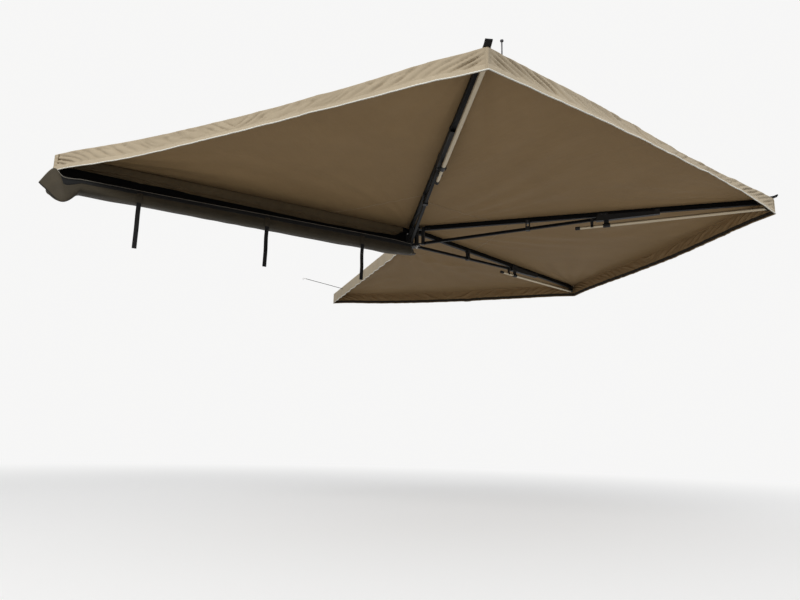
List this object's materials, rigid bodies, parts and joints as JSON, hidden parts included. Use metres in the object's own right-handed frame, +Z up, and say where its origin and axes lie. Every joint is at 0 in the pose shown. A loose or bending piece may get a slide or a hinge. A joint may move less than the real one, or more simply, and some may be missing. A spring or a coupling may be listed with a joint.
{
  "type": "vehicle side awning",
  "caption": "Folding fan awning for a vehicle's roof rack: triangular canopy panels on swinging arms round a corner hub, with stowed telescopic legs and an open travel bag.",
  "frame": {"origin": "centre of the middle rack bracket's seat, between its two slots", "axes": "+X along the back plate towards the hub, +Y towards the vehicle, +Z up"},
  "size_m": [5.0641, 4.944, 0.6068],
  "materials": {
    "canvas": "matte",
    "black_aluminium": "satin",
    "black_steel": "satin",
    "zinc_steel": "satin",
    "black_nylon": "satin",
    "bag_cloth": "satin",
    "black_webbing": "matte",
    "satin_aluminium": "satin",
    "black_rubber": "matte"
  },
  "bodies": {
    "root": {"back_plate": "black_aluminium", "end_cap": "black_nylon", "root_beam": "black_aluminium", "hub_bracket": "black_steel", "hub_pin": "zinc_steel", "hub_nut": "zinc_steel", "hub_spacer_tube": "black_steel", "rack_bracket_front": "black_steel", "rack_bracket_middle": "black_steel", "rack_bracket_rear": "black_steel", "travel_bag": "bag_cloth", "bag_strap_front": "black_webbing", "bag_strap_middle": "black_webbing", "bag_strap_rear": "black_webbing", "canopy_panel_ab": "canvas"},
    "arm_b": {"arm_b_beam": "black_aluminium", "arm_b_brace": "black_aluminium", "arm_b_knuckle": "black_aluminium", "arm_b_spacer": "black_nylon", "arm_b_saddle": "black_nylon", "arm_b_tip": "black_nylon", "arm_b_pivot_bolt": "zinc_steel", "arm_b_leg_clip": "black_nylon", "arm_b_corner_tab": "black_webbing", "canopy_panel_bc": "canvas", "guy_pin": "zinc_steel"},
    "leg_b": {"leg_b_outer_tube": "satin_aluminium"},
    "collar_b": {"leg_b_collar": "black_nylon"},
    "lower_b": {"leg_b_inner_tube": "satin_aluminium", "leg_b_foot": "black_rubber"},
    "arm_c": {"arm_c_beam": "black_aluminium", "arm_c_brace": "black_aluminium", "arm_c_knuckle": "black_aluminium", "arm_c_spacer": "black_nylon", "arm_c_saddle": "black_nylon", "arm_c_tip": "black_nylon", "arm_c_pivot_bolt": "zinc_steel", "arm_c_leg_clip": "black_nylon", "arm_c_corner_tab": "black_webbing", "canopy_panel_cd": "canvas"},
    "leg_c": {"leg_c_outer_tube": "satin_aluminium"},
    "collar_c": {"leg_c_collar": "black_nylon"},
    "lower_c": {"leg_c_inner_tube": "satin_aluminium", "leg_c_foot": "black_rubber"},
    "arm_d": {"arm_d_beam": "black_aluminium", "arm_d_brace": "black_aluminium", "arm_d_knuckle": "black_aluminium", "arm_d_spacer": "black_nylon", "arm_d_saddle": "black_nylon", "arm_d_tip": "black_nylon", "arm_d_pivot_bolt": "zinc_steel", "arm_d_leg_clip": "black_nylon", "arm_d_corner_tab": "black_webbing", "canopy_panel_de": "canvas"},
    "leg_d": {"leg_d_outer_tube": "satin_aluminium"},
    "collar_d": {"leg_d_collar": "black_nylon"},
    "lower_d": {"leg_d_inner_tube": "satin_aluminium", "leg_d_foot": "black_rubber"},
    "tail": {"tail_strap": "black_webbing", "tail_hook": "zinc_steel"}
  },
  "joints": [
    {"name": "arm_b_fold", "type": "hinge", "parent": "root", "child": "arm_b", "pos_m": [1.27, -0.158, 0.06], "axis": [0, 0, 1], "range_deg": [-64.78, 0], "deforming": ["canopy_panel_ab"]},
    {"name": "arm_c_fold", "type": "hinge", "parent": "arm_b", "child": "arm_c", "pos_m": [1.27, -0.158, 0.06], "axis": [0, 0, 1], "range_deg": [-64.78, 0], "deforming": ["canopy_panel_bc"]},
    {"name": "arm_d_fold", "type": "hinge", "parent": "arm_c", "child": "arm_d", "pos_m": [1.27, -0.158, 0.06], "axis": [0, 0, 1], "range_deg": [-64.78, 0], "deforming": ["canopy_panel_cd"]},
    {"name": "tail_fold", "type": "hinge", "parent": "arm_d", "child": "tail", "pos_m": [1.27, -0.158, 0.06], "axis": [0, 0, 1], "range_deg": [-61.7, 0], "deforming": ["canopy_panel_de"]},
    {"name": "leg_b_swing", "type": "hinge", "parent": "arm_b", "child": "leg_b", "pos_m": [0.18501, -2.36541, 0.05035], "axis": [-0.9047, 0.4261, 0], "range_deg": [0, 90]},
    {"name": "collar_b_twist", "type": "hinge", "parent": "leg_b", "child": "collar_b", "pos_m": [0.62371, -1.43396, 0.02131], "axis": [0.4259, 0.9043, -0.0282], "range_deg": [0, 90]},
    {"name": "leg_b_extend", "type": "slide", "parent": "leg_b", "child": "lower_b", "axis": [0.4259, 0.9043, -0.0282], "range_m": [0, 0.7]},
    {"name": "leg_c_swing", "type": "hinge", "parent": "arm_c", "child": "leg_c", "pos_m": [2.84324, -2.04829, 0.05035], "axis": [-0.771, -0.6369, 0], "range_deg": [0, 90]},
    {"name": "collar_c_twist", "type": "hinge", "parent": "leg_c", "child": "collar_c", "pos_m": [2.1875, -1.25452, 0.02131], "axis": [-0.6366, 0.7707, -0.0282], "range_deg": [0, 90]},
    {"name": "leg_c_extend", "type": "slide", "parent": "leg_c", "child": "lower_c", "axis": [-0.6366, 0.7707, -0.0282], "range_m": [0, 0.7]},
    {"name": "leg_d_swing", "type": "hinge", "parent": "arm_d", "child": "leg_d", "pos_m": [3.63807, 0.50827, 0.05035], "axis": [0.2477, -0.9688, 0], "range_deg": [0, 90]},
    {"name": "collar_d_twist", "type": "hinge", "parent": "leg_d", "child": "collar_d", "pos_m": [2.64056, 0.25327, 0.02131], "axis": [-0.9685, -0.2476, -0.0282], "range_deg": [0, 90]},
    {"name": "leg_d_extend", "type": "slide", "parent": "leg_d", "child": "lower_d", "axis": [-0.9685, -0.2476, -0.0282], "range_m": [0, 0.7]}
  ]
}
